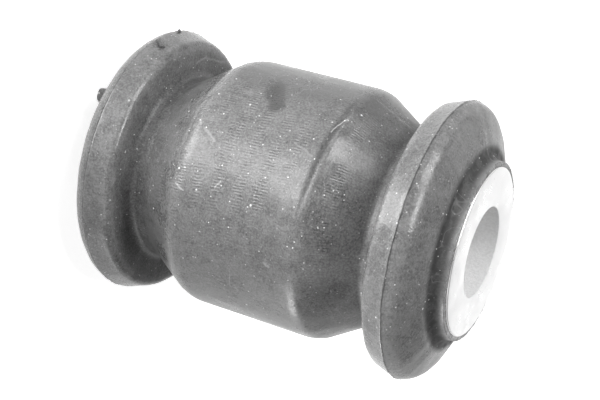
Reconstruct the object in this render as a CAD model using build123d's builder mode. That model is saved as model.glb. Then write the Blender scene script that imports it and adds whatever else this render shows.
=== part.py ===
from build123d import *
import os

# Suspension bush: a rubber spool moulded and bonded round a thick-walled metal sleeve.
# Sizes are in millimetres. +Z runs along the bore, and the origin is the centre of the
# sleeve's lower end face, so the bush stands on that face. Both ends are alike.

# ---- inner sleeve ----
bore_diameter = 12.0
sleeve_diameter = 22.4
sleeve_length = 54.0
bore_edge_break = 0.1
sleeve_edge_break = 0.2

# ---- rubber over the sleeve, measured outwards from the sleeve's wall ----
barrel_wall = 5.9
neck_wall = 1.6
lip_wall = 0.65

# ---- along the axis, from the sleeve's end face inwards to the barrel ----
lip_setback = 0.15          # the metal stands this far out of the rubber lip
lip_height = 1.5            # lip end down to the floor of the trough round it
trough_rise = 0.45          # the trough's floor falls away from the lip by this much
dome_rise = 1.9             # domed outer face, from the trough down to the outer corner
outer_taper_run = 1.6       # outer corner to the parting line
inner_taper_run = 3.2       # parting line to the flange's inner face
neck_width = 2.3            # floor of the groove between flange and shoulder
shoulder_run = 6.9          # cone between the groove's floor and the barrel

# ---- across the axis ----
flange_overhang = 1.4       # flange beyond the barrel, as a radius, at the parting line
inner_taper_drop = 1.0      # how much the radius falls from there to the inner corner
outer_taper_drop = 0.4      # and to the outer corner
trough_width = 2.15         # trough round the lip, between lip and dome

# ---- blends and the moulding marks ----
shoulder_blend = 4.4
neck_blend = 1.2
rim_blend = 0.8
outer_corner_blend = 1.8
dome_blend = 3.0
trough_blend = 1.3
flash_width = 0.3           # thin ridge left where the mould halves met
flash_height = 0.12
gate_diameter = 2.2         # stub of the injection gate on the lower flange's outer face
gate_proud = 0.4
gate_inset = 2.2            # from the outer corner in to the stub's centre
gate_angle = -111.0         # degrees round +Z from +X

# ---- radii and heights that follow ----
bore_radius = bore_diameter / 2
sleeve_radius = sleeve_diameter / 2
barrel_radius = sleeve_radius + barrel_wall
neck_radius = sleeve_radius + neck_wall
lip_radius = sleeve_radius + lip_wall
dome_edge_radius = lip_radius + trough_width
flange_radius = barrel_radius + flange_overhang
inner_corner_radius = flange_radius - inner_taper_drop
outer_corner_radius = flange_radius - outer_taper_drop

mid_plane_z = sleeve_length / 2
lip_end_z = sleeve_length - lip_setback
trough_floor_z = lip_end_z - lip_height
dome_edge_z = trough_floor_z - trough_rise
outer_corner_z = dome_edge_z - dome_rise
parting_line_z = outer_corner_z - outer_taper_run
inner_face_z = parting_line_z - inner_taper_run
groove_floor_z = inner_face_z - neck_width
crease_z = groove_floor_z - shoulder_run

# The stub stands on the dome's straight flank, so its tip follows the flank's slope.
gate_radius = outer_corner_radius - gate_inset
dome_slope = dome_rise / (outer_corner_radius - dome_edge_radius)
gate_tip_z = outer_corner_z + gate_inset * dome_slope + gate_proud

os.makedirs("parts", exist_ok=True)

# ---- inner sleeve: a plain thick tube with its end edges broken ----
with BuildPart() as inner_sleeve:
    with BuildSketch(Plane.XY) as tube_section:
        Circle(sleeve_radius)
        Circle(bore_radius, mode=Mode.SUBTRACT)
    extrude(amount=sleeve_length)
    rims = inner_sleeve.edges().filter_by(GeomType.CIRCLE).group_by(SortBy.RADIUS)
    chamfer(rims[0], length=bore_edge_break)
    chamfer(rims[-1], length=sleeve_edge_break)

inner_sleeve.part.label = "inner_sleeve"
export_step(inner_sleeve.part, "parts/inner_sleeve.step")

# ---- rubber spool: upper half of its section, each corner with the blend that rounds it ----
# From the mid-plane the outline runs up the barrel, down the shoulder cone into the neck,
# out along the flange's inner face, over the tapered rim with its parting line, in over
# the dome to the trough, and up the lip that hugs the sleeve.
spool_corners = [
    ((sleeve_radius, mid_plane_z), 0),
    ((barrel_radius, mid_plane_z), 0),
    ((barrel_radius, crease_z), shoulder_blend),
    ((neck_radius, groove_floor_z), neck_blend),
    ((neck_radius, inner_face_z), neck_blend),
    ((inner_corner_radius, inner_face_z), rim_blend),
    ((flange_radius, parting_line_z - flash_width / 2), 0),
    ((flange_radius + flash_height, parting_line_z), 0),
    ((flange_radius, parting_line_z + flash_width / 2), 0),
    ((outer_corner_radius, outer_corner_z), outer_corner_blend),
    ((dome_edge_radius, dome_edge_z), dome_blend),
    ((lip_radius, trough_floor_z), trough_blend),
    ((lip_radius, lip_end_z), 0),
    ((sleeve_radius, lip_end_z), 0),
]

with BuildPart() as rubber_body:
    with BuildSketch(Plane.XZ) as spool_section:
        with BuildLine() as spool_outline:
            FilletPolyline(
                [corner for corner, blend in spool_corners],
                radius=[blend for corner, blend in spool_corners],
                close=True,
            )
        make_face()
    revolve(axis=Axis.Z)
    mirror(about=Plane.XY.offset(mid_plane_z))

    # Gate stub: drawn on the lower flange's parting plane and grown outwards through the dome.
    gate_plane = Plane.XY.offset(sleeve_length - parting_line_z)
    with BuildSketch(gate_plane) as gate_section:
        with PolarLocations(gate_radius, 1, start_angle=gate_angle):
            Circle(gate_diameter / 2)
    extrude(amount=-(gate_tip_z - parting_line_z))

rubber_body.part.label = "rubber_body"
export_step(rubber_body.part, "parts/rubber_body.step")
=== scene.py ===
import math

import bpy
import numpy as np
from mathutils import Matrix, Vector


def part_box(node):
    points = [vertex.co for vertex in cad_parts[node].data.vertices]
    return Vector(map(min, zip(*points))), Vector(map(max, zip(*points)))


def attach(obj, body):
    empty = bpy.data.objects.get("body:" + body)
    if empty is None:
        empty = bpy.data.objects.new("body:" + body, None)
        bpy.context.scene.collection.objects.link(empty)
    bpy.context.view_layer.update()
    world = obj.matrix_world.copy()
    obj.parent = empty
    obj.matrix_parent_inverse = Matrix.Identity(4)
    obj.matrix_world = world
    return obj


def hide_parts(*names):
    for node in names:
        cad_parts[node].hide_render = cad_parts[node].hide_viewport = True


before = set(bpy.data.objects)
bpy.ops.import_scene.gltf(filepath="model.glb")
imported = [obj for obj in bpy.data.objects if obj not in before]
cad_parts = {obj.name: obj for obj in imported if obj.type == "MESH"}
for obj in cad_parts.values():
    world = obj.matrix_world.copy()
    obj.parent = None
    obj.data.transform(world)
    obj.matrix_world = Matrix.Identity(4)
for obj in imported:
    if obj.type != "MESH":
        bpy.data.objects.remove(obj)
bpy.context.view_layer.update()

# %% [markdown]
# # Rubber-metal bush
# A suspension bush is a thick metal sleeve with a rubber spool moulded and bonded round it. Both pieces are
# bodies of revolution, so nearly every shape here is one outline turned about the bore's axis, +Z. The
# sleeve stands on its lower end. Lengths are in metres, and MM turns millimetres into them.

MM = 0.001
BODY = "root"
TURN = 2 * math.pi


def in_mm(lengths):
    """Lengths in metres as rounded millimetres, for printing."""
    return [round(length / MM, 2) for length in lengths]


# %% [markdown]
# ## Outlines
# A moulded rubber part has no sharp corner: the mould's edges are rounded, and so is the part. An outline
# could be drawn as a curve by hand, but here it is a list of sharp corners, each with the blend radius that
# rounds it, because that is how a drawing of the real bush gives it. The same corners stand in the solid
# model.

# %% Rounding the corners of an outline
ARC_STEPS = 9
STRAIGHT = 0.001


def rounded_outline(corners, blends):
    """An outline with each inner corner replaced by an arc that touches both its sides.

    With w half the angle at the corner and R the blend, the arc starts R / tan(w) from the corner along each
    side, and its centre lies R / sin(w) from the corner along the bisector. Points along the arc are the
    spherical blend of its two end radii, so they are evenly spaced. A corner that is nearly straight stays.
    """
    corners = np.asarray(corners, float)
    runs = [corners[:1]]
    for before, corner, after, blend in zip(corners, corners[1:], corners[2:], blends):
        a, b = before - corner, after - corner
        a, b = a / np.linalg.norm(a), b / np.linalg.norm(b)
        half = math.acos(np.clip(a @ b, -1, 1)) / 2
        if blend == 0 or math.pi / 2 - half < STRAIGHT:
            runs.append(corner[None])
            continue
        centre = corner + (a + b) / np.linalg.norm(a + b) * blend / math.sin(half)
        start = corner + a * blend / math.tan(half) - centre
        end = corner + b * blend / math.tan(half) - centre
        turn = math.pi - 2 * half
        share = np.linspace(0, 1, ARC_STEPS)[:, None]
        arc = (np.sin((1 - share) * turn) * start + np.sin(share * turn) * end) / math.sin(turn)
        runs.append(centre + arc)
    runs.append(corners[-1:])
    return np.vstack(runs)


print("one blended corner has", len(rounded_outline([(0, 0), (2, 0), (2, 2)], [1])) - 2, "points")

# %% Spacing the points of an outline
SAME_POINT = 1e-9


def side_lengths(outline):
    """The distance from each point of an outline to the next."""
    return np.linalg.norm(np.diff(outline, axis=0), axis=1)


def spaced(outline, step, fine_step=None, fine_from=0, fine_to=0):
    """The same outline with no neighbours further apart than step, or than fine_step between two heights.

    Each side is cut into n equal parts, as many as its length holds steps. Part k starts at k / n of the way
    from the side's first point to its last. Points that fall together are merged first.
    """
    outline = outline[np.r_[True, side_lengths(outline) > SAME_POINT]]
    middle = (outline[1:, 1] + outline[:-1, 1]) / 2
    steps = np.where((middle > fine_from) & (middle < fine_to), fine_step or step, step)
    parts = np.maximum(1, np.ceil(side_lengths(outline) / steps)).astype(int)
    side = np.repeat(np.arange(len(parts)), parts)
    part = np.arange(parts.sum()) - np.repeat(np.cumsum(parts) - parts, parts)
    way = np.diff(outline, axis=0)[side] * part[:, None] / parts[side][:, None]
    return np.vstack([outline[side] + way, outline[-1:]])


print("a side of 1 in steps of 0.3 has", len(spaced(np.array([(0.0, 0.0), (1.0, 0.0)]), 0.3)), "points")

# %% [markdown]
# ## The rubber spool's outline
# From the middle outwards: a plain barrel that is pressed into the arm's eye, a coned shoulder, a narrow
# groove that grips the eye's rim, a flange with a thin ridge where the mould's halves met, a domed outer
# face, and a shallow trough round a lip that ends just short of the metal. Each height and radius could be
# a bare number, but each is given here as a step from its neighbour, so that one size can change and the
# rest follow. The lower half is the upper one mirrored.

# %% Heights of the spool
sleeve_low, sleeve_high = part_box("inner_sleeve")
rubber_low, rubber_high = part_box("rubber_body")
MID_Z = (sleeve_low.z + sleeve_high.z) / 2
LIP_END_Z = rubber_high.z
TROUGH_FLOOR_Z = LIP_END_Z - 1.5 * MM
DOME_EDGE_Z = TROUGH_FLOOR_Z - 0.45 * MM
OUTER_CORNER_Z = DOME_EDGE_Z - 1.9 * MM
PARTING_Z = OUTER_CORNER_Z - 1.6 * MM
INNER_FACE_Z = PARTING_Z - 3.2 * MM
GROOVE_FLOOR_Z = INNER_FACE_Z - 2.3 * MM
CREASE_Z = GROOVE_FLOOR_Z - 6.9 * MM
print("crease, groove, parting and lip at", in_mm((CREASE_Z, GROOVE_FLOOR_Z, PARTING_Z, LIP_END_Z)), "mm")

# %% Radii of the spool
SLEEVE_RADIUS = sleeve_high.x
BARREL_RADIUS = SLEEVE_RADIUS + 5.9 * MM
NECK_RADIUS = SLEEVE_RADIUS + 1.6 * MM
LIP_RADIUS = SLEEVE_RADIUS + 0.65 * MM
FLANGE_RADIUS = BARREL_RADIUS + 1.4 * MM
RIDGE_RADIUS = FLANGE_RADIUS + 0.12 * MM
RIDGE_HALF_WIDTH = 0.15 * MM
INNER_CORNER_RADIUS = FLANGE_RADIUS - 1.0 * MM
OUTER_CORNER_RADIUS = FLANGE_RADIUS - 0.4 * MM
DOME_EDGE_RADIUS = LIP_RADIUS + 2.15 * MM
print("radii of neck, barrel and flange:", in_mm((NECK_RADIUS, BARREL_RADIUS, FLANGE_RADIUS)), "mm")

# %% Corners and blends of the upper half
CREASE_BAND = 1.6 * MM
CREASE_BLEND = 4.4 * MM
GROOVE_BLEND = 1.2 * MM
INNER_BLEND = 1.15 * MM
OUTER_BLEND = 2.8 * MM
DOME_BLEND = 3.0 * MM
TROUGH_BLEND = 1.3 * MM
LIP_BLEND = 0.12 * MM
upper_corners = np.array([
    # radius, height, blend
    (BARREL_RADIUS, MID_Z, 0),
    (BARREL_RADIUS, CREASE_Z - CREASE_BAND, 0),
    (BARREL_RADIUS, CREASE_Z, CREASE_BLEND),
    (NECK_RADIUS, GROOVE_FLOOR_Z, GROOVE_BLEND),
    (NECK_RADIUS, INNER_FACE_Z, GROOVE_BLEND),
    (INNER_CORNER_RADIUS, INNER_FACE_Z, INNER_BLEND),
    (FLANGE_RADIUS, PARTING_Z - RIDGE_HALF_WIDTH, 0),
    (RIDGE_RADIUS, PARTING_Z, 0),
    (FLANGE_RADIUS, PARTING_Z + RIDGE_HALF_WIDTH, 0),
    (OUTER_CORNER_RADIUS, OUTER_CORNER_Z, OUTER_BLEND),
    (DOME_EDGE_RADIUS, DOME_EDGE_Z, DOME_BLEND),
    (LIP_RADIUS, TROUGH_FLOOR_Z, TROUGH_BLEND),
    (LIP_RADIUS, LIP_END_Z, LIP_BLEND),
    (SLEEVE_RADIUS, LIP_END_Z, 0),
])
print("corners of the upper half:", len(upper_corners))

# %% The whole outline
OUTLINE_STEP = 0.75 * MM
CREASE_STEP = 0.16 * MM
upper = rounded_outline(upper_corners[:, :2], upper_corners[1:-1, 2])
upper = spaced(upper, OUTLINE_STEP, CREASE_STEP, CREASE_Z - CREASE_BAND, CREASE_Z + CREASE_BAND)
lower = (upper * (1, -1) + (0, 2 * MID_Z))[::-1]
spool_outline = np.vstack([lower[:-1], upper])
print("points on the spool's outline:", len(spool_outline))

# %% [markdown]
# ## How the outline bends, and what it hides
# Rubber is scuffed pale along the edges that stick out, and the pockets are painted darker, as shade with some
# grime. Both can be read from the outline alone, so they are worked out once here and kept on the mesh as
# attributes, where the rubber's material reads them. Blender's own pointiness only works on a dense mesh, and
# is lost in an export.

# %% Bend along an outline
BEND_REACH = 0.7 * MM
BEND_GAIN = 6


def outline_normals(outline):
    """Unit vectors square to the outline, pointing out of the rubber: the tangent turned by a quarter."""
    tangent = np.gradient(outline, axis=0)
    normal = np.stack([tangent[:, 1], -tangent[:, 0]], axis=1)
    return normal / np.linalg.norm(normal, axis=1, keepdims=True)


def outline_bend(outline):
    """How far the surface turns within a set reach: 1 on an edge that sticks out, -1 in an inner corner.

    Each other point adds how far it drops below the tangent, weighed by the bell exp(-(distance / reach)^2).
    The sum over the reach is raised by a gain and held between -1 and 1 by tanh.
    """
    normal = outline_normals(outline)
    gap = outline[None] - outline[:, None]
    weight = np.exp(-(np.linalg.norm(gap, axis=2) / BEND_REACH) ** 2)
    drop = -(gap * normal[:, None]).sum(axis=2)
    return np.tanh(BEND_GAIN * (drop * weight).sum(axis=1) / weight.sum(axis=1) / BEND_REACH)


spool_bend = outline_bend(spool_outline)
print("bend from", spool_bend.min().round(2), "to", spool_bend.max().round(2))

# %% Shelter along an outline
RAYS = 25
WIDEST_RAY = 80
SHELTER_REACH = 8 * MM
CLEAR_OF_SKIN = 0.02 * MM


def flat_cross(a, b):
    """The cross product of plane vectors, whole arrays at once: first of a x second of b - second x first."""
    return a[..., 0] * b[..., 1] - a[..., 1] * b[..., 0]


def outline_shelter(outline):
    """The share of directions, seen from each point, in which the outline meets itself within a set reach.

    A ray from p along d meets the side from a to b where the cross products of d with a - p and b - p have
    opposite signs, and the crossing lies ahead. A ray counts by the cosine of its swing from the normal.
    """
    normal = outline_normals(outline)
    swing = np.linspace(-WIDEST_RAY, WIDEST_RAY, RAYS) * math.pi / 180
    cos, sin = np.cos(swing), np.sin(swing)
    out, up = normal[:, :1], normal[:, 1:]
    ray = np.stack([out * cos - up * sin, out * sin + up * cos], axis=2)[:, :, None]
    start = outline + normal * CLEAR_OF_SKIN
    to_a = (outline[None, :-1] - start[:, None])[:, None]
    to_b = (outline[None, 1:] - start[:, None])[:, None]
    side_a, side_b = flat_cross(ray, to_a), flat_cross(ray, to_b)
    share = side_a / np.where(side_a == side_b, 1, side_a - side_b)
    ahead = (ray * (to_a + share[..., None] * (to_b - to_a))).sum(axis=3)
    blocked = ((side_a * side_b < 0) & (ahead > 0) & (ahead < SHELTER_REACH)).any(axis=2)
    return (blocked * cos).sum(axis=1) / cos.sum()


spool_shelter = outline_shelter(spool_outline)
print("most shelter:", spool_shelter.max().round(2))

# %% [markdown]
# ## Small unevenness
# Moulded rubber is never quite true: its skin waves by a few hundredths of a millimetre, the ridge at the
# parting line is torn, and the lip's end is ragged where spare rubber was trimmed. A Displace modifier
# could add this, but a sum of sines whose counts round the axis are whole numbers closes on itself without
# a seam.

# %% Waves that close round the axis
SEED = 7
rng = np.random.default_rng(SEED)


def ring_waves(angle, height, counts, pitch, rng):
    """The sum of sin(count x angle + slope x height + phase), each with its own slope and phase, near 1."""
    total = 0
    for count in counts:
        slope = rng.uniform(-1, 1) / pitch
        total = total + np.sin(count * angle + slope * height * TURN + rng.uniform(0, TURN))
    return total / math.sqrt(len(counts))


print("random draws start from seed", SEED)

# %% [markdown]
# ## From an outline to a mesh
# Blender's Screw modifier turns an outline too, but then the waves would have to be added to a finished
# mesh. Here the turned outline is a plain grid of points first, so the skin can be pushed about with
# whole-array sums, and only the finished grid becomes faces.

# %% Turning an outline into a grid
def turned_grid(outline, around):
    """Grid point (i, j) is the outline's point i turned by the angle 2 pi j / around."""
    angle = np.arange(around) * TURN / around
    radius, height = outline[:, 0], outline[:, 1]
    grid = np.empty((len(outline), around, 3))
    grid[..., 0] = radius[:, None] * np.cos(angle)
    grid[..., 1] = radius[:, None] * np.sin(angle)
    grid[..., 2] = height[:, None]
    return grid, angle


print("a ring of 4 starts at", turned_grid(np.array([(1.0, 0.0)]), 4)[0][0, 0].tolist())

# %% Turning a grid into a piece
def put_in_scene(name, data):
    """A new object of that name in the scene, holding a mesh, a lamp or a camera."""
    thing = bpy.data.objects.new(name, data)
    bpy.context.scene.collection.objects.link(thing)
    return thing


def piece_from_grid(name, grid, capped=False):
    """Quads between neighbouring grid points, wrapped round the axis.

    Along the outline they wrap too, or with capped the first and last rings are each closed by one flat face.
    """
    rows, columns = grid.shape[:2]
    corner = np.arange(rows * columns).reshape(rows, columns)
    right = np.roll(corner, -1, axis=1)
    above = np.roll(corner, -1, axis=0)
    quads = np.stack([corner, right, np.roll(right, -1, axis=0), above], axis=-1)
    faces = quads[:-1 if capped else None].reshape(-1, 4).tolist()
    if capped:
        faces += [corner[0, ::-1].tolist(), corner[-1].tolist()]
    mesh = bpy.data.meshes.new(name)
    mesh.from_pydata(grid.reshape(-1, 3), [], faces)
    mesh.polygons.foreach_set("use_smooth", np.ones(len(faces), bool))
    mesh.update()
    return put_in_scene(name, mesh)


def keep_on_mesh(piece, grid, **looks):
    """Stores each look, one number per grid point, as a point attribute that materials read by its name."""
    for name, values in looks.items():
        spread = np.broadcast_to(values, grid.shape[:2]).astype(np.float32)
        piece.data.attributes.new(name, "FLOAT", "POINT").data.foreach_set("value", spread.ravel())


# %% [markdown]
# ## The rubber spool
# The real spool is moulded in one shot. Its outline is turned on a fine grid, then pushed in or out along
# its own normals by the waves. The inner wall, which is bonded to the sleeve, stays true. The last outline
# point joins the first through that wall, so the piece is one closed ring. A sculpted mesh could look as
# natural, but it couldn't be changed by a number.

# %% The spool's grid and the waves of its skin
AROUND = 400
BROAD_COUNTS, BROAD_PITCH, BROAD_DEPTH = (5, 9, 14, 22, 31), 22 * MM, 0.022 * MM
CLOSE_COUNTS, CLOSE_PITCH, CLOSE_DEPTH = (47, 68, 90), 5 * MM, 0.004 * MM
spool_grid, angle = turned_grid(spool_outline, AROUND)
degrees = np.degrees(angle)
radius = spool_outline[:, :1]
height = spool_outline[:, 1:] - MID_Z
from_middle = np.abs(height)
skin_wave = ring_waves(angle, height, BROAD_COUNTS, BROAD_PITCH, rng) * BROAD_DEPTH
skin_wave = skin_wave + ring_waves(angle, height, CLOSE_COUNTS, CLOSE_PITCH, rng) * CLOSE_DEPTH
print("the skin waves by up to", round(np.abs(skin_wave).max() / MM, 3), "mm")

# %% The torn ridge at the parting line
RIDGE_COUNTS, LONG_PITCH = (19, 43, 77, 121, 173), 60 * MM
RIDGE_LOSS, RIDGE_LOSS_SWING, RIDGE_MOST_LOSS = 0.045 * MM, 0.05 * MM, 0.11 * MM
parting_height = PARTING_Z - MID_Z
off_ridge = np.abs(from_middle - parting_height)
on_ridge = np.clip(1 - off_ridge / RIDGE_HALF_WIDTH, 0, 1) * (radius > FLANGE_RADIUS)
ridge_tear = ring_waves(angle, height, RIDGE_COUNTS, LONG_PITCH, rng)
skin_wave = skin_wave - on_ridge * np.clip(RIDGE_LOSS + RIDGE_LOSS_SWING * ridge_tear, 0, RIDGE_MOST_LOSS)
print("rows of the grid on the ridges:", int((on_ridge > 0).sum()))

# %% The fine step beside each crease
# The band beyond each crease is a separate insert in the mould, so its edge leaves a fine step in the rubber.
# The insert sat tight on one side, so the step is crisp there and faint elsewhere, and its line wanders.
TIGHT_SIDE, TIGHT_SPREAD = 246, 27
WANDER_COUNTS, WANDER = (2, 3, 7, 11), 0.14 * MM
LEAN_FROM, LEAN_OVER, LEAN = 236, 30, -0.25 * MM
crease_height = CREASE_Z - MID_Z
tight = np.exp(-((degrees - TIGHT_SIDE) / TIGHT_SPREAD) ** 4)
step_wander = ring_waves(angle, 0 * height, WANDER_COUNTS, 1.0, rng) * WANDER
step_wander = step_wander + np.clip((degrees - LEAN_FROM) / LEAN_OVER, -1, 1) * LEAN
DENTS = [
    # height, depth (a bulge where below 0), width, share of the depth that is left on the loose side
    (crease_height - 0.25 * MM, 0.06 * MM, 0.35 * MM, 0.15),
    (crease_height + 0.45 * MM, -0.10 * MM, 0.50 * MM, 0.15),
    (-crease_height - 0.55 * MM, 0.06 * MM, 0.30 * MM, 0.20),
]
for dent_height, depth, width, loose in DENTS:
    bell = np.exp(-((height - dent_height - step_wander) / width) ** 2)
    skin_wave = skin_wave - depth * bell * (loose + (1 - loose) * tight)
print("with the steps, the skin moves by up to", round(np.abs(skin_wave).max() / MM, 3), "mm")

# %% Pushing the skin and tearing the lip
LIP_EDGE = 0.2 * MM
BONDED = 0.3 * MM
LIP_COUNTS, LIP_LOSS = (23, 57, 101, 149), 0.10 * MM
at_lip = np.clip((from_middle - (LIP_END_Z - MID_Z) + LIP_EDGE) / LIP_EDGE, 0, 1)
free_skin = np.clip((radius - SLEEVE_RADIUS) / BONDED, 0, 1)
outward = outline_normals(spool_outline)
push = np.minimum(skin_wave * free_skin * (1 - at_lip), RIDGE_RADIUS - radius)
lip_tear = np.clip(0.5 + 0.5 * ring_waves(angle, height, LIP_COUNTS, LONG_PITCH, rng), 0, 1) * LIP_LOSS
spool_grid[..., 0] += push * outward[:, :1] * np.cos(angle)
spool_grid[..., 1] += push * outward[:, :1] * np.sin(angle)
spool_grid[..., 2] += push * outward[:, 1:] - at_lip * free_skin * lip_tear * np.sign(height)
spool = piece_from_grid("rubber_spool", spool_grid)
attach(spool, BODY)
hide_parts("rubber_body")
print("triangles in the spool:", 2 * len(spool.data.polygons))

# %% Where the spool gets painted shade, and where the crease and the lip are
# The troughs and pockets are painted darker, as shade with some grime. The lip is pale where it was trimmed.
# The crease is a painted dark line of shade, soft on the barrel's side and crisp beyond it.
SHELTER_SHADE = 0.30
TROUGH_MIDDLE, TROUGH_REACH = LIP_RADIUS + 0.55 * MM, 1.25 * MM
LIP_FOOT, LIP_SPREAD = 0.25 * MM, 0.35 * MM
LINE_SHIFT, SOFT_SIDE, CRISP_SIDE = 0.05 * MM, 0.75 * MM, 0.16 * MM
trough_height = TROUGH_FLOOR_Z - MID_Z
from_trough = np.hypot(radius - TROUGH_MIDDLE, from_middle - trough_height)
# Painted shade, with some grime: the sheltered pockets and the trough round the lip are darkened.
grime = np.maximum(SHELTER_SHADE * spool_shelter[:, None], np.exp(-(from_trough / TROUGH_REACH) ** 2))
on_lip = (from_middle > trough_height + LIP_FOOT) & (radius < LIP_RADIUS + LIP_SPREAD)
past_crease = height - crease_height + LINE_SHIFT - step_wander
# Painted shade: a dark line along the crease, where the fold shades the rubber.
crease = np.exp(-(past_crease / np.where(past_crease < 0, SOFT_SIDE, CRISP_SIDE)) ** 2) * tight
keep_on_mesh(spool, spool_grid, bend=spool_bend[:, None], shelter=spool_shelter[:, None])
keep_on_mesh(spool, spool_grid, grime=grime, lip=on_lip, crease=crease)
print("looks on the mesh:", [look.name for look in spool.data.attributes if look.data_type == "FLOAT"])

# %% Where the spool is rubbed pale and painted with a highlight, ribbed and dusted
# Handling rubs the rims and edges pale. The shoulders get a pale band, strongest on one side, that is a painted
# highlight as well as rubbing. The cutter's ribs are clearest on one side, and dust lies on the outer faces of
# the flanges.
SHEEN_AND_WEAR_PAST, SHEEN_AND_WEAR_WIDTH, SHEEN_AND_WEAR_LOOSE = 0.9 * MM, 1.5 * MM, 0.15
RIM_INSIDE, RIM_PAST, RIM_RUBBED, EDGE_RUBBED = 0.1 * MM, 1.5 * MM, 0.55, 0.9
RIBBED_SIDE, RIBBED_SPREAD, RIBBED_LEAST = 250, 42, 0.30
DUST_FROM, DUST_OVER = 0.2 * MM, 1.0 * MM
past_shoulder = from_middle - crease_height - SHEEN_AND_WEAR_PAST
# Painted highlight, with some rubbing: a pale band past each crease, strongest on one side.
rubbed = np.exp(-(past_shoulder / SHEEN_AND_WEAR_WIDTH) ** 2) * (SHEEN_AND_WEAR_LOOSE + (1 - SHEEN_AND_WEAR_LOOSE) * tight)
on_rim = (radius > INNER_CORNER_RADIUS - RIM_INSIDE) & (from_middle < parting_height + RIM_PAST)
worn = np.maximum(RIM_RUBBED * on_rim, EDGE_RUBBED * np.clip(spool_bend, 0, 1)[:, None])
ribbed = RIBBED_LEAST + (1 - RIBBED_LEAST) * np.exp(-((degrees - RIBBED_SIDE) / RIBBED_SPREAD) ** 4)
dusted = np.clip((from_middle - parting_height - DUST_FROM) / DUST_OVER, 0, 1)
keep_on_mesh(spool, spool_grid, rubbed=np.maximum(rubbed, worn), ribbed=ribbed, dusted=dusted)
print("mean of rubbed:", round(float(np.maximum(rubbed, worn).mean()), 3))

# %% [markdown]
# ## The gate stub and the torn flash
# Rubber enters the mould through a small gate, whose stub is snapped off and stays on the outer face of the
# lower flange. Where the mould's halves met, a sliver or two of flash is left on the rim. Each could be a
# scaled cone, but a snapped end is never that plain, so each is a short turned peg whose radius and height
# are broken up by a few sines. Its foot is sunk, wholly or in part, in the spool's skin.

# %% Torn pegs
# A peg steeper than STEEP takes its side from the x axis, because the z axis would run along it.
PEG_SIDES = 28
STEEP = 0.9
PEG_WAY = np.array([0, 0.25, 0.5, 0.75, 0.95, 1, 1, 1])[:, None]
PEG_TAPER = np.array([1, 1, 1, 1, 1, 0.9, 0.6, 0.3])[:, None]
PEG_RAGGED = np.array([0, 0, 0, 0, 0, 0, 1, 1])[:, None]
WIDTH_COUNTS, WIDTH_TEAR = (2, 3, 5), 0.12
END_COUNTS, END_TEAR = (1, 3, 4), 0.1


def torn_peg(name, foot, tip, foot_radius, tip_radius, tear, flat=1.0):
    """A peg from foot to tip: rings of narrowing radius, and a cap whose inner rings are pushed up and down.

    Ring i lies at share s of the way, with radius foot + (tip - foot) s, waved round the peg. Its cross
    section is squeezed by flat across one side, as a sliver of flash is.
    """
    foot, tip = np.asarray(foot), np.asarray(tip)
    length = np.linalg.norm(tip - foot)
    along = (tip - foot) / length
    side = np.cross(along, (0, 0, 1) if abs(along[2]) < STEEP else (1, 0, 0))
    side = side / np.linalg.norm(side)
    across = np.cross(along, side)
    turn = np.arange(PEG_SIDES) * TURN / PEG_SIDES
    width = (foot_radius + (tip_radius - foot_radius) * PEG_WAY) * PEG_TAPER
    width = width * (1 + tear * ring_waves(turn, PEG_WAY, WIDTH_COUNTS, 1.0, rng) * WIDTH_TEAR)
    rise = PEG_WAY + PEG_RAGGED * tear * END_TEAR * ring_waves(turn, PEG_WAY, END_COUNTS, 1.0, rng)
    grid = foot + along * (length * rise)[..., None]
    grid = grid + side * (width * np.cos(turn))[..., None] + across * (flat * width * np.sin(turn))[..., None]
    piece = piece_from_grid(name, grid, capped=True)
    # Each peg gets a fixed share of the painted shade and grime.
    keep_on_mesh(piece, grid, bend=0.1, shelter=0.3, grime=0.22)
    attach(piece, BODY)
    return piece


print("points on a peg:", PEG_SIDES * len(PEG_WAY))

# %% The stub, the nib and the tip
def at(degrees, radius_mm, height_mm):
    """A point from its angle round the axis, its radius and its height above the floor, both in mm."""
    turn = math.radians(degrees)
    return (radius_mm * MM * math.cos(turn), radius_mm * MM * math.sin(turn), height_mm * MM)


PEGS = [
    # name, foot, tip, radius at the foot and at the tip in mm, how torn, how flat
    ("gate_stub", at(-112, 15.9, 4.2), at(-112.4, 16.0, 2.40), 1.05, 0.95, 0.7, 1.0),
    ("flash_nib", at(-143.2, 18.1, 7.15), at(-145.0, 18.72, 6.15), 0.42, 0.26, 1.0, 0.9),
    ("flash_tip", at(-163.0, 18.2, 5.75), at(-161.7, 18.80, 5.95), 0.55, 0.22, 1.0, 0.6),
]
rubber_pieces = [spool]
for name, foot, tip, foot_mm, tip_mm, tear, flat in PEGS:
    rubber_pieces.append(torn_peg(name, foot, tip, foot_mm * MM, tip_mm * MM, tear, flat))
print("rubber pieces:", [piece.name for piece in rubber_pieces])

# %% [markdown]
# ## The metal sleeve
# The sleeve is sawn or turned from thick tube: two flat faces, a straight bore and fine broken edges. It
# could keep the solid's own mesh, but a turned grid gives it smooth round walls and the tiny rounding on
# its edges that catches the light.

# %% Building the sleeve
BORE_RADIUS = 6.0 * MM
BORE_EDGE, OUTER_EDGE = 0.1 * MM, 0.2 * MM
SLEEVE_STEP, SLEEVE_AROUND = 3.0 * MM, 288
sleeve_corners = [
    (BORE_RADIUS, MID_Z),
    (BORE_RADIUS, sleeve_high.z),
    (SLEEVE_RADIUS, sleeve_high.z),
    (SLEEVE_RADIUS, sleeve_low.z),
    (BORE_RADIUS, sleeve_low.z),
    (BORE_RADIUS, MID_Z),
]
sleeve_outline = rounded_outline(sleeve_corners, [BORE_EDGE, OUTER_EDGE, OUTER_EDGE, BORE_EDGE])
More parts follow.
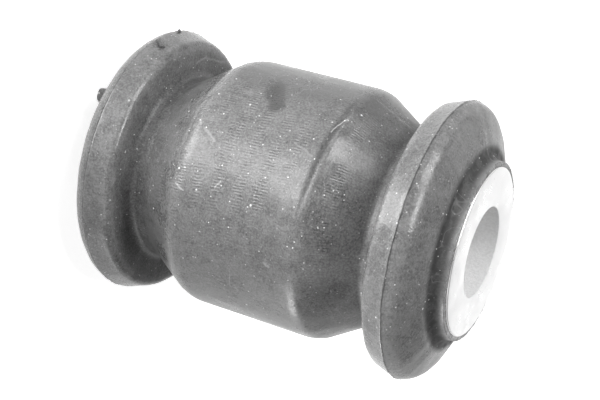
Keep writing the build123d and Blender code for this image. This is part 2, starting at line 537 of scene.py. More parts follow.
# Reversed, because these corners run the other way round than the spool's, and the faces must point outwards.
sleeve_outline = spaced(sleeve_outline, SLEEVE_STEP)[:-1][::-1]
sleeve = piece_from_grid("metal_sleeve", turned_grid(sleeve_outline, SLEEVE_AROUND)[0])
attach(sleeve, BODY)
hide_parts("inner_sleeve")
print("triangles in the sleeve:", 2 * len(sleeve.data.polygons))

# %% [markdown]
# ## Building materials from nodes
# A material is a small graph of nodes. It could be wired by hand in the Shader Editor, but the helpers
# below place a node with its inputs and make a group with named sockets, so that an effect such as dust is
# built once and used on both rubber and metal with its own values. Every pattern reads Object coordinates,
# which are metres in the bush's own frame.

# %% Placing nodes
def place(tree, kind, inputs=(), **settings):
    """Adds a node, sets its properties, and feeds each named or numbered input a socket or a value."""
    node = tree.nodes.new(kind)
    for key, value in settings.items():
        setattr(node, key, value)
    for key, value in dict(inputs).items():
        if isinstance(value, bpy.types.NodeSocket):
            tree.links.new(value, node.inputs[key])
        else:
            node.inputs[key].default_value = value
    return node


def grey(value):
    """A neutral colour, opaque."""
    return (value, value, value, 1.0)


print("a mid grey is", grey(0.2))

# %% Arithmetic on numbers and vectors
def calc(tree, operation, *values):
    """One step of arithmetic on numbers or sockets."""
    return place(tree, "ShaderNodeMath", enumerate(values), operation=operation).outputs[0]


def weighted(tree, start, parts):
    """start plus each part times its weight, held between 0 and 1 at the end."""
    for part, weight in parts:
        start = calc(tree, "MULTIPLY_ADD", part, weight, start)
    start.node.use_clamp = True
    return start


def vector(tree, operation, *values):
    """One step of arithmetic on vectors, giving a vector."""
    return place(tree, "ShaderNodeVectorMath", enumerate(values), operation=operation).outputs["Vector"]


def scaled(tree, direction, factor):
    """A vector times a number."""
    inputs = {0: direction, "Scale": factor}
    return place(tree, "ShaderNodeVectorMath", inputs, operation="SCALE").outputs["Vector"]


def measure(tree, operation, *values):
    """One step of arithmetic on vectors, giving a number."""
    return place(tree, "ShaderNodeVectorMath", enumerate(values), operation=operation).outputs["Value"]


print("arithmetic helpers:", [helper.__name__ for helper in (calc, weighted, vector, scaled, measure)])

# %% Steps, mixes, noise and bumps
def ramp(tree, value, low, high, to_low=0.0, to_high=1.0):
    """A smooth step from to_low to to_high while value goes from low to high."""
    inputs = {"Value": value, "From Min": low, "From Max": high, "To Min": to_low, "To Max": to_high}
    return place(tree, "ShaderNodeMapRange", inputs, interpolation_type="SMOOTHSTEP").outputs["Result"]


def blend(tree, share, a, b):
    """Two colours mixed by a share: a at 0, b at 1. The colour sockets are number 6 and 7 in, and 2 out."""
    return place(tree, "ShaderNodeMix", {0: share, 6: a, 7: b}, data_type="RGBA").outputs[2]


def noise(tree, position, scale, detail):
    """Cloudy noise with so many clouds to the metre, as the node's outputs Fac and Color."""
    return place(tree, "ShaderNodeTexNoise", {"Vector": position, "Scale": scale, "Detail": detail}).outputs


def bumped(tree, layers):
    """A normal tilted by each height map in turn, each with its depth in metres."""
    normal = None
    for height_map, depth in layers:
        node = place(tree, "ShaderNodeBump", {"Height": height_map, "Distance": depth, "Strength": 1.0})
        if normal is not None:
            tree.links.new(normal, node.inputs["Normal"])
        normal = node.outputs["Normal"]
    return normal


def on_mesh(tree, name):
    """One of the numbers kept on the mesh. A piece that doesn't have it gives 0."""
    return place(tree, "ShaderNodeAttribute", attribute_name=name).outputs["Fac"]


print("shading helpers:", [helper.__name__ for helper in (ramp, blend, noise, bumped, on_mesh)])

# %% Making and placing a node group
def new_group(name, inputs, output):
    """An empty group with its named sockets, and the nodes that stand for them inside.

    Each input is a label with its default, a number or a vector. Every group reads a Position, and gives one
    number.
    """
    tree = bpy.data.node_groups.new(name, "ShaderNodeTree")
    for label, default in {"Position": (0, 0, 0), **inputs}.items():
        kind = "NodeSocketVector" if isinstance(default, tuple) else "NodeSocketFloat"
        tree.interface.new_socket(label, in_out="INPUT", socket_type=kind).default_value = default
    tree.interface.new_socket(output, in_out="OUTPUT", socket_type="NodeSocketFloat")
    return tree, tree.nodes.new("NodeGroupInput").outputs, tree.nodes.new("NodeGroupOutput").inputs


def use(tree, group, output, **inputs):
    """Places a group in a tree, feeds its sockets by name, and gives one of its outputs."""
    return place(tree, "ShaderNodeGroup", inputs, node_tree=group).outputs[output]


print("groups so far:", len(bpy.data.node_groups))

# %% [markdown]
# ## Effects shared by rubber and metal
# Blotches are slow changes of tone, specks are dust grains, and hairlines are fine handling scratches. They
# could be painted on an image, but an image has one fixed sharpness, and noise stays crisp from any
# distance. Each group only gives a number over the surface, and the material decides what it does.

# %% Blotches
NOISE_LOW, NOISE_HIGH = 0.28, 0.72
FINE_CLOUDS = 0.6
blotches, given, result = new_group("blotches", {"Size": 3 * MM, "Detail": 4.0}, "Tone")
per_metre = calc(blotches, "DIVIDE", 1.0, given["Size"])
clouds = noise(blotches, given["Position"], per_metre, given["Detail"])["Fac"]
clouds.node.inputs["Roughness"].default_value = FINE_CLOUDS
blotches.links.new(ramp(blotches, clouds, NOISE_LOW, NOISE_HIGH), result["Tone"])
print("blotches:", len(blotches.nodes), "nodes")

# %% Specks of dust
# Space is cut into cells, a share of them holds a grain, and each grain has its own strength.
SPECK_SOFT_FROM = 0.6
SPECK_WEAKEST = 0.4
specks, given, result = new_group("specks", {"Spacing": 1 * MM, "Radius": 0.1 * MM, "Share": 0.3}, "Mask")
cells = place(specks, "ShaderNodeTexVoronoi", {
    "Vector": given["Position"], "Scale": calc(specks, "DIVIDE", 1.0, given["Spacing"])}).outputs
from_centre = calc(specks, "MULTIPLY", cells["Distance"], given["Spacing"])
disc = ramp(specks, calc(specks, "DIVIDE", from_centre, given["Radius"]), SPECK_SOFT_FROM, 1.0, 1.0, 0.0)
lot = place(specks, "ShaderNodeSeparateColor", {"Color": cells["Color"]}).outputs
chosen = calc(specks, "LESS_THAN", lot["Red"], given["Share"])
strength = calc(specks, "MULTIPLY_ADD", lot["Green"], 1 - SPECK_WEAKEST, SPECK_WEAKEST)
specks.links.new(calc(specks, "MULTIPLY", calc(specks, "MULTIPLY", disc, chosen), strength), result["Mask"])
print("specks:", len(specks.nodes), "nodes")

# %% Hairlines
# A thin band round the middle value of a noise is a wandering line. A second noise, read some way off so that
# it is independent, breaks the lines into pieces.
LINE_DETAIL = 1.5
ELSEWHERE = (0.31, 0.17, 0.53)
PATCH_SCALE = 0.9
SHOWN_FROM, SHOWN_FULL = 0.82, 0.88
hairlines, given, result = new_group("hairlines", {"Spacing": 4 * MM, "Width": 0.03, "Share": 0.4}, "Mask")
lines = noise(hairlines, given["Position"], calc(hairlines, "DIVIDE", 1.0, given["Spacing"]), LINE_DETAIL)
off_line = calc(hairlines, "ABSOLUTE", calc(hairlines, "SUBTRACT", lines["Fac"], 0.5))
line = ramp(hairlines, off_line, 0.0, given["Width"], 1.0, 0.0)
apart = vector(hairlines, "ADD", given["Position"], ELSEWHERE)
patch = noise(hairlines, apart, calc(hairlines, "DIVIDE", PATCH_SCALE, given["Spacing"]), 0.0)
shown = ramp(hairlines, patch["Fac"], calc(hairlines, "SUBTRACT", SHOWN_FROM, given["Share"]),
             calc(hairlines, "SUBTRACT", SHOWN_FULL, given["Share"]))
hairlines.links.new(calc(hairlines, "MULTIPLY", line, shown), result["Mask"])
print("hairlines:", len(hairlines.nodes), "nodes")

# %% A single mark
# The share along the mark is (point - start) . run / run . run, held between 0 and 1. The mark shows where
# the point is nearer than its width to that place on the run. The point is shaken first, so the mark wobbles.
SHAKE_SCALE = 900.0
MARK_SOFT_FROM = 0.4
mark, given, result = new_group(
    "mark", {"Start": (0, 0, 0), "End": (0, 0, MM), "Width": 0.2 * MM, "Wobble": 0.3 * MM}, "Mask")
shake = vector(mark, "SUBTRACT", noise(mark, given["Position"], SHAKE_SCALE, 1.0)["Color"], (0.5, 0.5, 0.5))
shaken = vector(mark, "ADD", given["Position"], scaled(mark, shake, given["Wobble"]))
point = vector(mark, "SUBTRACT", shaken, given["Start"])
run = vector(mark, "SUBTRACT", given["End"], given["Start"])
share = calc(mark, "DIVIDE", measure(mark, "DOT_PRODUCT", point, run), measure(mark, "DOT_PRODUCT", run, run))
share.node.use_clamp = True
distance = measure(mark, "DISTANCE", point, scaled(mark, run, share))
nearness = ramp(mark, calc(mark, "DIVIDE", distance, given["Width"]), MARK_SOFT_FROM, 1.0, 1.0, 0.0)
mark.links.new(nearness, result["Mask"])
print("mark:", len(mark.nodes), "nodes")

# %% [markdown]
# ## Tool ribs in the barrel
# The mould's barrel was milled in steps along the axis, and the rubber copied the cutter's marks: short
# ribs that lie along the axis, about 0.4 mm apart, in columns that run round the barrel. An image of the
# marks could be wrapped round, but a sine of the angle closes on itself and stays sharp at any zoom.

# %% Columns of ribs
# The column is the height / the column's width, plus a slow waver. Its whole part says which column, and the
# rest how far across it.
COLUMN_WAVER = 0.55
WAVER_SCALE = 420.0
RIBS_ROUND, COLUMN_WIDTH = 270.0, 2.9 * MM
ribs, given, result = new_group("tool_ribs", {"Count": RIBS_ROUND, "Column": COLUMN_WIDTH}, "Height")
place_on = place(ribs, "ShaderNodeSeparateXYZ", {"Vector": given["Position"]}).outputs
turns = calc(ribs, "DIVIDE", calc(ribs, "ARCTAN2", place_on["Y"], place_on["X"]), TURN)
waver = noise(ribs, given["Position"], WAVER_SCALE, 2.0)["Fac"]
columns = calc(ribs, "DIVIDE", place_on["Z"], given["Column"])
columns = calc(ribs, "ADD", columns, calc(ribs, "MULTIPLY", waver, COLUMN_WAVER))
within = calc(ribs, "FRACT", columns)
lot = place(ribs, "ShaderNodeTexWhiteNoise", {"W": calc(ribs, "FLOOR", columns)}, noise_dimensions="1D")
print("tool ribs:", len(ribs.nodes), "nodes for the columns")

# %% The ribs as a height
# The height is sin(2 pi (turns x count + slant + waver + the column's own lot)), faded at each column's ends
# and wherever the ribs are worn away or broken up.
SLANT = 0.5
PHASE_WAVER = 1.1
FULL_WITHIN, GONE_PAST, LEFT_AT_ENDS = 0.14, 0.36, 0.12
WORN_SCALE, WORN_SHOWS = 150.0, (0.36, 0.58, 0.1, 1.0)
BROKEN_SCALE, BROKEN_SHOWS = 1500.0, (0.36, 0.60, 0.15, 1.3)
slant = calc(ribs, "MULTIPLY", calc(ribs, "SUBTRACT", within, 0.5), SLANT)
phase = calc(ribs, "ADD", calc(ribs, "MULTIPLY", turns, given["Count"]), slant)
phase = calc(ribs, "ADD", phase, calc(ribs, "MULTIPLY_ADD", waver, PHASE_WAVER, lot.outputs["Value"]))
wave = calc(ribs, "SINE", calc(ribs, "MULTIPLY", phase, TURN))
to_end = calc(ribs, "ABSOLUTE", calc(ribs, "SUBTRACT", within, 0.5))
length = ramp(ribs, to_end, FULL_WITHIN, GONE_PAST, 1.0, LEFT_AT_ENDS)
worn = ramp(ribs, noise(ribs, given["Position"], WORN_SCALE, 3.0)["Fac"], *WORN_SHOWS)
broken = ramp(ribs, noise(ribs, given["Position"], BROKEN_SCALE, 2.0)["Fac"], *BROKEN_SHOWS)
shown = calc(ribs, "MULTIPLY", calc(ribs, "MULTIPLY", length, worn), broken)
ribs.links.new(calc(ribs, "MULTIPLY_ADD", calc(ribs, "MULTIPLY", wave, shown), 0.5, 0.5), result["Height"])
print("node groups:", [group.name for group in bpy.data.node_groups])

# %% [markdown]
# ## Rubber
# Natural rubber filled with carbon black dries to a dark grey bloom. It is uneven everywhere: blotchy,
# scuffed pale on its edges, dusty, and crossed by fine scratches. Its gloss is low and broken up by grain,
# so the highlights are soft patches. One flat dark grey would look like plastic, so the tone is a sum of
# many weak effects, each of which can be turned up or down alone.

# %% What the rubber reads
rubber = bpy.data.materials.new("rubber")
rubber.use_nodes = True
tree = rubber.node_tree
skin = tree.nodes["Principled BSDF"]
where = place(tree, "ShaderNodeTexCoord").outputs["Object"]
broad = use(tree, blotches, "Tone", Position=where, Size=4.0 * MM, Detail=3.0)
medium = use(tree, blotches, "Tone", Position=where, Size=1.5 * MM, Detail=4.0)
fine = use(tree, blotches, "Tone", Position=where, Size=0.42 * MM, Detail=3.0)
grain = use(tree, blotches, "Tone", Position=where, Size=0.24 * MM, Detail=2.0)
rib_height = use(tree, ribs, "Height", Position=where)
on_edge = on_mesh(tree, "bend")
rubbed = on_mesh(tree, "rubbed")
print("rubber nodes so far:", len(tree.nodes))

# %% Rubber: ribs on the barrel only
BARREL_FULL, BARREL_END = 12.0 * MM, 14.5 * MM
axis_height = place(tree, "ShaderNodeSeparateXYZ", {"Vector": where}).outputs["Z"]
off_middle = calc(tree, "ABSOLUTE", calc(tree, "SUBTRACT", axis_height, MID_Z))
on_barrel = ramp(tree, off_middle, BARREL_FULL, BARREL_END, 1.0, 0.0)
on_barrel = calc(tree, "MULTIPLY", on_barrel, on_mesh(tree, "ribbed"))
rib_relief = calc(tree, "MULTIPLY", calc(tree, "SUBTRACT", rib_height, 0.5), on_barrel)
print("ribs fade out between", in_mm((BARREL_FULL, BARREL_END)), "mm from the middle")

# %% Rubber: tone
# Each ramp is named with its numbers: where it starts and ends, and what it gives at each end if not 0 and 1.
DARK_RUBBER, PALE_RUBBER = grey(0.070), grey(0.225)
LEAST_TONE = 0.06
EDGE_SHOWS, EDGE_PATCHY = (0.1, 0.8), (0.15, 0.85, 0.4, 1.0)
worn_edge = calc(tree, "MULTIPLY", ramp(tree, on_edge, *EDGE_SHOWS), ramp(tree, medium, *EDGE_PATCHY))
grain_relief = calc(tree, "SUBTRACT", grain, 0.5)
# One term of the tone paints a highlight pale on the shoulders, and also lightens rubbed rims and edges.
tone = weighted(tree, LEAST_TONE, [
    (medium, 0.26), (broad, 0.26), (fine, 0.18), (grain_relief, 0.62), (rib_relief, 0.55),
    (on_mesh(tree, "dusted"), 0.24), (rubbed, 0.20), (worn_edge, 0.30)])
color = blend(tree, tone, DARK_RUBBER, PALE_RUBBER)
print("rubber tones from", DARK_RUBBER[0], "to", PALE_RUBBER[0])

# %% Rubber: the pale lip, the painted shade in the pockets and the crease, and the parting line
LIP_TONE, SHADE_AND_GRIME_TONE, LINE_TONE = grey(0.28), grey(0.018), grey(0.030)
LIP_PATCHY, CREASE_BROKEN = (0.2, 0.9, 0.15, 0.8), (0.2, 0.8, 0.55, 0.9)
SHADE_AND_GRIME_SHOWS, SHADE_AND_GRIME_PATCHY = (0.08, 0.85, 0.0, 0.90), (0.0, 0.8, 0.70, 1.0)
PARTING_SHIFT, PARTING_WANDER = 0.10 * MM, 0.10 * MM
PARTING_FULL, PARTING_END, PARTING_SHARE = 0.05 * MM, 0.12 * MM, 0.75
pale_lip = calc(tree, "MULTIPLY", on_mesh(tree, "lip"), ramp(tree, medium, *LIP_PATCHY))
color = blend(tree, pale_lip, color, LIP_TONE)
# Painted shade, with some grime: where the mesh asks for it, the colour goes nearly black.
shaded_grime = ramp(tree, on_mesh(tree, "grime"), *SHADE_AND_GRIME_SHOWS)
shaded_grime = calc(tree, "MULTIPLY", shaded_grime, ramp(tree, medium, *SHADE_AND_GRIME_PATCHY))
color = blend(tree, shaded_grime, color, SHADE_AND_GRIME_TONE)
# Painted shade along the crease, broken up by the ribs.
dark_crease = calc(tree, "MULTIPLY", on_mesh(tree, "crease"), ramp(tree, rib_height, *CREASE_BROKEN))
color = blend(tree, dark_crease, color, LINE_TONE)
off_parting = calc(tree, "SUBTRACT", off_middle, PARTING_Z - MID_Z + PARTING_SHIFT)
off_parting = calc(tree, "MULTIPLY_ADD", calc(tree, "SUBTRACT", medium, 0.5), PARTING_WANDER, off_parting)
parting = ramp(tree, calc(tree, "ABSOLUTE", off_parting), PARTING_FULL, PARTING_END, PARTING_SHARE, 0.0)
color = blend(tree, parting, color, LINE_TONE)
print("the parting line is", round(2 * PARTING_END / MM, 2), "mm wide")

# %% Rubber: marks that sit in one place
MARKS = [
    # start and end in mm, width and wobble in mm, tone, strength
    ((-11.60, -11.91, 36.73), (-10.92, -12.83, 36.19), 0.13, 0.3, 0.42, 0.8),
    ((-10.92, -12.83, 36.19), (-9.07, -14.42, 35.47), 0.13, 0.4, 0.42, 0.8),
    ((-15.16, -6.76, 36.78), (-13.96, -5.64, 39.28), 0.16, 0.3, 0.36, 0.5),
    ((-13.96, -5.64, 39.28), (-12.68, -4.40, 41.90), 0.16, 0.3, 0.36, 0.5),
    ((-5.42, -16.22, 19.51), (-4.16, -16.59, 21.58), 0.24, 0.6, 0.28, 0.6),
    ((2.26, -16.77, 18.01), (2.85, -16.86, 19.30), 0.18, 0.6, 0.40, 0.8),
    ((-11.98, -10.96, 16.61), (-9.82, -12.79, 16.44), 0.20, 0.5, 0.03, 0.7),
    ((-10.22, -13.55, 18.21), (-8.31, -13.97, 16.65), 0.18, 0.5, 0.03, 0.6),
    ((-10.88, -13.19, 19.61), (-10.71, -13.33, 22.98), 0.28, 0.7, 0.05, 0.5),
    ((-6.60, -15.78, 31.97), (-5.56, -16.17, 34.68), 0.22, 0.7, 0.26, 0.6),
    ((1.48, -17.04, 23.64), (0.44, -17.09, 24.20), 0.16, 0.5, 0.40, 0.7),
    ((8.72, -14.71, 31.70), (9.02, -14.53, 32.42), 0.26, 0.6, 0.35, 0.6),
    ((-14.24, -3.71, 8.80), (-15.35, -1.93, 8.80), 0.22, 0.4, 0.26, 0.7),
    ((-15.35, -1.93, 8.80), (-15.92, 4.13, 8.80), 0.22, 0.4, 0.26, 0.6),
    # wide dark patches, the widest a band along one side of the barrel
    ((-13.1, -11.0, 25.4), (-10.6, -13.4, 27.0), 1.35, 0.6, 0.035, 0.75),
    ((-13.8, -10.1, 24.4), (-11.9, -12.3, 25.2), 1.25, 0.6, 0.035, 0.60),
    ((-14.6, -8.9, 22.0), (-14.6, -8.9, 36.0), 5.2, 0.6, 0.055, 0.45),
]
for start, end, width, wobble, shade, strength in MARKS:
    there = use(tree, mark, "Mask", Position=where, Start=[v * MM for v in start], End=[v * MM for v in end],
                Width=width * MM, Wobble=wobble * MM)
    color = blend(tree, calc(tree, "MULTIPLY", there, strength), color, grey(shade))
print("marks placed:", len(MARKS))

# %% Rubber: dust and scratches
LINT_TONE, LINT_SHARE = grey(0.36), 0.30
DUST_TONE, POWDER_SHARE, SCUFF_SHARE = grey(0.85), 0.30, 0.7
ROUND_STRETCH, ALONG_STRETCH = (0.45, 0.45, 1.0), (1.0, 1.0, 0.4)
dust = use(tree, specks, "Mask", Position=where, Spacing=0.8 * MM, Radius=0.11 * MM, Share=0.44)
powder = use(tree, specks, "Mask", Position=where, Spacing=0.45 * MM, Radius=0.10 * MM, Share=0.26)
grit = use(tree, specks, "Mask", Position=where, Spacing=2.1 * MM, Radius=0.17 * MM, Share=0.36)
dirt = calc(tree, "MAXIMUM", grit, calc(tree, "MULTIPLY", powder, POWDER_SHARE))
dirt = calc(tree, "MAXIMUM", dust, dirt)
# Scratches run mostly round the bush and scuffs mostly along it, so each reads a stretched position.
round_it = vector(tree, "MULTIPLY", where, ROUND_STRETCH)
along_it = vector(tree, "MULTIPLY", where, ALONG_STRETCH)
scratch = use(tree, hairlines, "Mask", Position=round_it, Spacing=3.0 * MM, Width=0.007, Share=0.26)
scuff = use(tree, hairlines, "Mask", Position=along_it, Spacing=3.6 * MM, Width=0.010, Share=0.26)
lint = calc(tree, "MAXIMUM", scratch, calc(tree, "MULTIPLY", scuff, SCUFF_SHARE))
color = blend(tree, calc(tree, "MULTIPLY", lint, LINT_SHARE), color, LINT_TONE)
color = blend(tree, dirt, color, DUST_TONE)
tree.links.new(color, skin.inputs["Base Color"])
print("rubber nodes for the colour:", len(tree.nodes))

# %% Rubber: gloss and grain
LEAST_ROUGH, SHELTER_SHOWS = 0.21, (0.15, 0.7)
HILL_SCALE, HILL_DEPTH = 420.0, 0.040 * MM
PORE_SCALE, PORE_DEPTH = 4200.0, 0.016 * MM
RIB_DEPTH, LINT_DEPTH = 0.022 * MM, 0.010 * MM
in_shelter = ramp(tree, on_mesh(tree, "shelter"), *SHELTER_SHOWS)
roughness = weighted(tree, LEAST_ROUGH, [
    (broad, 0.12), (fine, 0.09), (rubbed, -0.10), (in_shelter, 0.25), (shaded_grime, 0.40), (dirt, 0.30)])
tree.links.new(roughness, skin.inputs["Roughness"])
hills = noise(tree, where, HILL_SCALE, 3.0)["Fac"]
pores = noise(tree, where, PORE_SCALE, 2.0)["Fac"]
relief = [(hills, HILL_DEPTH), (rib_relief, RIB_DEPTH), (pores, PORE_DEPTH), (lint, LINT_DEPTH)]
tree.links.new(bumped(tree, relief), skin.inputs["Normal"])
for piece in rubber_pieces:
    piece.data.materials.append(rubber)
print("rubber nodes:", len(tree.nodes))

# %% [markdown]
# ## Metal
# The sleeve is pale bare metal, zinc-coated or aluminium. Its faces carry the faint rings of the cutter and
# its bore is grainy. A plain mirror of the room would be too clean, so rings, nicks and clouding break it
# up. Metal shows what is round it, so most of its brightness is the pale room.

# %% What the metal reads
BORE_FROM = 0.02 * MM
metal = bpy.data.materials.new("sleeve_metal")
metal.use_nodes = True
tree = metal.node_tree
surface = tree.nodes["Principled BSDF"]
where = place(tree, "ShaderNodeTexCoord").outputs["Object"]
cloud = use(tree, blotches, "Tone", Position=where, Size=2.2 * MM, Detail=5.0)
grain = use(tree, blotches, "Tone", Position=where, Size=0.35 * MM, Detail=3.0)
speck = use(tree, specks, "Mask", Position=where, Spacing=1.6 * MM, Radius=0.12 * MM, Share=0.25)
nick = use(tree, hairlines, "Mask", Position=where, Spacing=3.6 * MM, Width=0.008, Share=0.34)
off_axis = measure(tree, "LENGTH", vector(tree, "MULTIPLY", where, (1, 1, 0)))
in_bore = ramp(tree, off_axis, BORE_RADIUS + BORE_FROM, BORE_RADIUS + BORE_EDGE, 1.0, 0.0)
print("metal nodes so far:", len(tree.nodes))

# %% Metal: colour, metallic and roughness
FACE_TONE, CLOUD_TONE, BORE_TONE, SPECK_TONE = grey(0.97), grey(0.92), grey(0.60), grey(0.35)
CLOUD_SHARE, BORE_SHARE, SPECK_SHARE = 0.35, 0.30, 0.6
FACE_METALLIC, LESS_IN_BORE = 0.7, -0.65
FACE_ROUGH, CLOUD_ROUGH, BORE_ROUGH = 0.26, 0.10, 0.12
bore_grain = calc(tree, "MULTIPLY", in_bore, grain)
color = blend(tree, calc(tree, "MULTIPLY", cloud, CLOUD_SHARE), FACE_TONE, CLOUD_TONE)
color = blend(tree, calc(tree, "MULTIPLY", bore_grain, BORE_SHARE), color, BORE_TONE)
color = blend(tree, calc(tree, "MULTIPLY", speck, SPECK_SHARE), color, SPECK_TONE)
tree.links.new(color, surface.inputs["Base Color"])
tree.links.new(calc(tree, "MULTIPLY_ADD", in_bore, LESS_IN_BORE, FACE_METALLIC), surface.inputs["Metallic"])
roughness = weighted(tree, FACE_ROUGH, [(cloud, CLOUD_ROUGH), (in_bore, BORE_ROUGH)])
tree.links.new(roughness, surface.inputs["Roughness"])
print("metal nodes for the colour and gloss:", len(tree.nodes))

# %% Metal: turning rings, bore grain and nicks
RING_PITCH, RING_DEPTH = 0.22 * MM, 0.0006 * MM
BORE_GRAIN_DEPTH, NICK_DEPTH = 0.016 * MM, -0.008 * MM
rings = calc(tree, "SINE", calc(tree, "MULTIPLY", off_axis, TURN / RING_PITCH))
relief = [(rings, RING_DEPTH), (bore_grain, BORE_GRAIN_DEPTH), (nick, NICK_DEPTH)]
tree.links.new(bumped(tree, relief), surface.inputs["Normal"])
sleeve.data.materials.append(metal)
print("metal nodes:", len(tree.nodes))

# %% [markdown]
# ## Floor and backdrop
# A plain pale table, with a low pale wall far round it. More light could make them white, but it would
# bleach the bush too. So their own colour makes them nearly white, and a little light is added only where
# the camera, a reflection or glass looks at them. The table still takes the bush's shadow.

# %% Pale table material
PALE_TABLE = grey(0.85)
TABLE_ROUGH = 0.9
FLOOR_LIFT = 0.86
table = bpy.data.materials.new("pale_table")
table.use_nodes = True
tree = table.node_tree
paint = tree.nodes["Principled BSDF"]
paint.inputs["Base Color"].default_value = PALE_TABLE
paint.inputs["Roughness"].default_value = TABLE_ROUGH
paint.inputs["Specular IOR Level"].default_value = 0.0
paths = place(tree, "ShaderNodeLightPath").outputs
seen = calc(tree, "MAXIMUM", paths["Is Camera Ray"], paths["Is Glossy Ray"])
seen = calc(tree, "MAXIMUM", seen, paths["Is Transmission Ray"])
glow = place(tree, "ShaderNodeEmission", {"Strength": calc(tree, "MULTIPLY", seen, FLOOR_LIFT)})
both = place(tree, "ShaderNodeAddShader", {0: paint.outputs[0], 1: glow.outputs[0]})
tree.links.new(both.outputs[0], tree.nodes["Material Output"].inputs["Surface"])
print("table nodes:", len(tree.nodes))

# %% Floor
FLOOR_HALF = 3.0
floor_mesh = bpy.data.meshes.new("floor")
floor_corners = [(x * FLOOR_HALF, y * FLOOR_HALF, 0) for x, y in ((-1, -1), (1, -1), (1, 1), (-1, 1))]
floor_mesh.from_pydata(floor_corners, [], [(0, 1, 2, 3)])
floor = put_in_scene("floor", floor_mesh)
floor.data.materials.append(table)
print("floor is", 2 * FLOOR_HALF, "m wide")

# %% Backdrop
WALL_RADIUS, WALL_HEIGHT, WALL_SIDES = 2.9, 1.25, 96
turn = np.arange(WALL_SIDES) * TURN / WALL_SIDES
ring = np.stack([WALL_RADIUS * np.cos(turn), WALL_RADIUS * np.sin(turn)], axis=1)
wall_points = np.vstack([np.c_[ring, np.zeros(WALL_SIDES)], np.c_[ring, np.full(WALL_SIDES, WALL_HEIGHT)]])
foot = np.arange(WALL_SIDES)
beside = np.roll(foot, -1)
wall_mesh = bpy.data.meshes.new("backdrop")
wall_faces = np.stack([beside, foot, foot + WALL_SIDES, beside + WALL_SIDES], axis=1)
wall_mesh.from_pydata(wall_points, [], wall_faces)
wall = put_in_scene("backdrop", wall_mesh)
paper = table.copy()
paper.name = "pale_backdrop"
wall.data.materials.append(paper)
print("backdrop", WALL_HEIGHT, "m high")

# %% [markdown]
# ## Camera
# The bush is seen from a little above, close, with the camera rolled on its side so that the bore's axis
# runs across the view. A camera could be aimed with a Track To constraint, but that can't roll it, so
# its three directions are worked out: back from the bush, then level, then both turned by the roll.

# %% Placing the camera
AZIMUTH, ELEVATION, ROLL = math.radians(-0.04), math.radians(23.35), math.radians(106.1)
DISTANCE = 177.8 * MM
AIM_LIFT = 0.75 * MM
FOCAL_PIXELS, FRAME_WIDTH = 1315.8, 600
SENSOR = 36.0
NEAREST_SEEN = 0.01
back = Vector((math.sin(AZIMUTH) * math.cos(ELEVATION), -math.cos(AZIMUTH) * math.cos(ELEVATION),
               math.sin(ELEVATION)))
level = Vector((math.cos(AZIMUTH), math.sin(AZIMUTH), 0))
upright = back.cross(level)
right = math.cos(ROLL) * level + math.sin(ROLL) * upright
turned = Matrix((right, back.cross(right), back)).transposed().to_4x4()
aim = Vector((0, 0, MID_Z)) + AIM_LIFT * upright
camera_data = bpy.data.cameras.new("camera")
camera_data.sensor_width = SENSOR
camera_data.lens = FOCAL_PIXELS / FRAME_WIDTH * SENSOR
camera_data.clip_start = NEAREST_SEEN
camera = put_in_scene("camera", camera_data)
camera.matrix_world = Matrix.Translation(aim + back * DISTANCE) @ turned
bpy.context.scene.camera = camera
print("camera at", in_mm(camera.location), "mm, lens", round(camera_data.lens, 2))

# %% [markdown]
# ## Light
# Soft boxes stand round the table, and a few flat light panels lie on it, because the small bush is lit
# from low down on one side. A single sun would give hard shadows. Each box is set by the level of light
# that it gives at the bush, where 1 shows a white card facing it as white, so moving or resizing a box
# doesn't change the exposure.

# %% Soft boxes
BOX_DISTANCE = 0.5
MIDDLE = Vector((0, 0, MID_Z))


def area_lamp(name, width, depth, watts):
    """A flat rectangular lamp that the camera doesn't see."""
    data = bpy.data.lights.new(name, "AREA")
    data.shape = "RECTANGLE"
    data.size, data.size_y, data.energy = width, depth, watts
    lamp = put_in_scene(name, data)
    lamp.visible_camera = False
    return lamp


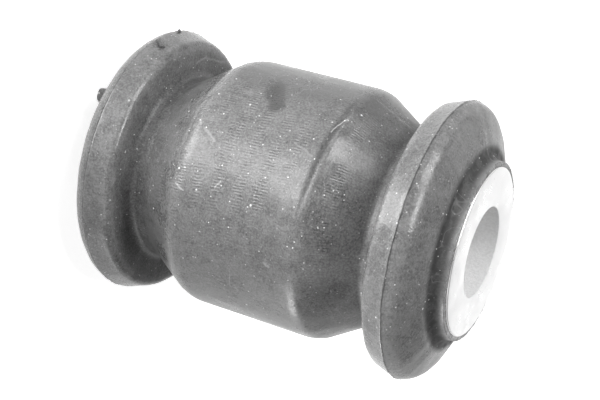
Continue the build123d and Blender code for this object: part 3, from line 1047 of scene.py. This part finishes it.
def soft_box(name, azimuth, elevation, size, level):
    """A square lamp that faces the bush: watts = level x (pi x distance)^2 gives that level there."""
    a, e = math.radians(azimuth), math.radians(elevation)
    away = Vector((math.cos(a) * math.cos(e), math.sin(a) * math.cos(e), math.sin(e)))
    lamp = area_lamp(name, size, size, level * (math.pi * BOX_DISTANCE) ** 2)
    lamp.location = MIDDLE + away * BOX_DISTANCE
    lamp.rotation_euler = away.to_track_quat("Z", "Y").to_euler()
    return lamp


BOXES = [
    # name, azimuth, elevation, size in metres, level
    ("left_box", -147, 38, 0.18, 0.32),
    ("upper_left_box", -163, 51, 0.10, 0.18),
    ("high_left_box", -120, 65, 0.15, 0.43),
    ("back_card", 90, 22, 0.35, 0.06),
    ("back_left_box", 130, 45, 0.20, 0.07),
    ("right_box", -30, 30, 0.20, 0.09),
]
boxes = [soft_box(*row) for row in BOXES]
print("soft boxes:", [lamp.name for lamp in boxes])

# %% Panels on the table
PANEL_LIFT = 0.5 * MM


def floor_panel(name, azimuth, reach, size, radiance):
    """A square panel on the table that shines upwards with a set radiance: watts = pi x area x radiance."""
    a = math.radians(azimuth)
    lamp = area_lamp(name, size, size, math.pi * size ** 2 * radiance)
    lamp.location = (math.cos(a) * reach, math.sin(a) * reach, PANEL_LIFT)
    lamp.rotation_euler = (math.pi, 0, a)
    return lamp


PANELS = [
    # name, azimuth, distance from the bore's axis and size in metres, radiance
    ("front_panel", -105, 0.042, 0.024, 8.6),
    ("front_left_panel", -105, 0.100, 0.050, 10.5),
    ("far_front_panel", -88, 0.150, 0.080, 8.0),
    ("right_panel", 0, 0.190, 0.110, 11.0),
]
panels = [floor_panel(*row) for row in PANELS]
print("panels:", [lamp.name for lamp in panels])

# %% World
WORLD_LEVEL = 0.06
world = bpy.data.worlds.new("world")
bpy.context.scene.world = world
world.use_nodes = True
background = world.node_tree.nodes["Background"]
background.inputs["Color"].default_value = grey(1.0)
background.inputs["Strength"].default_value = WORLD_LEVEL
bpy.context.scene.view_settings.view_transform = "Standard"
print("world level", WORLD_LEVEL)
